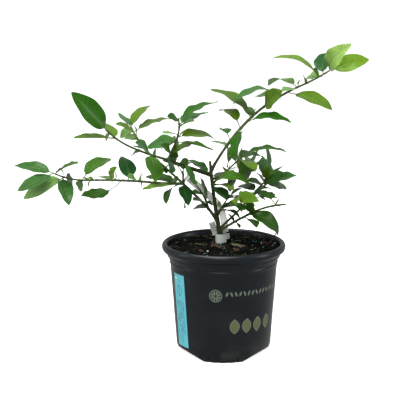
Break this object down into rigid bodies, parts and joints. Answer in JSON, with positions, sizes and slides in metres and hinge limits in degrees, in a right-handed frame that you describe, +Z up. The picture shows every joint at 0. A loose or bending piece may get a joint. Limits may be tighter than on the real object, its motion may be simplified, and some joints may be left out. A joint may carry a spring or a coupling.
{
  "type": "potted key lime tree",
  "caption": "Young citrus tree with a thin green trunk, spreading leafy sprays and a plastic nursery pot filled with bark mix, with a care label and a trunk tag.",
  "frame": {"origin": "centre of the pot's flat underside", "axes": "+Z up along the pot's axis, +X towards the right as seen from the front, +Y away from the front"},
  "size_m": [0.483, 0.2009, 0.4104],
  "materials": {
    "pot_plastic": "satin black moulded plastic, slightly scuffed and dusty",
    "potting_mix": "dark moist composted bark with paler chips",
    "label_film": "turquoise printed film, slightly glossy",
    "tag_film": "white thin plastic tag",
    "bark": "smooth green-brown young bark",
    "foliage": "glossy green leaves"
  },
  "bodies": {
    "root": {"pot": "pot_plastic", "soil": "potting_mix", "care_label": "label_film", "tag_sleeve": "tag_film", "tag_tail": "tag_film", "trunk": "bark", "bough_upper_right": "bark", "bough_upper_left": "bark", "bough_lower_left": "bark", "bough_right": "bark", "spray_upper_right": "foliage", "spray_upper_left": "foliage", "spray_top_left": "foliage", "spray_lower_left": "foliage", "spray_mid_left": "foliage", "spray_left_node": "foliage", "spray_low_right": "foliage", "spray_right": "foliage", "spray_inner_right": "foliage", "spray_centre_right": "foliage", "spray_leader": "foliage", "spray_front_left": "foliage", "spray_front_right": "foliage", "spray_back_left": "foliage", "spray_back_right": "foliage", "spray_back_low": "foliage"}
  },
  "joints": []
}
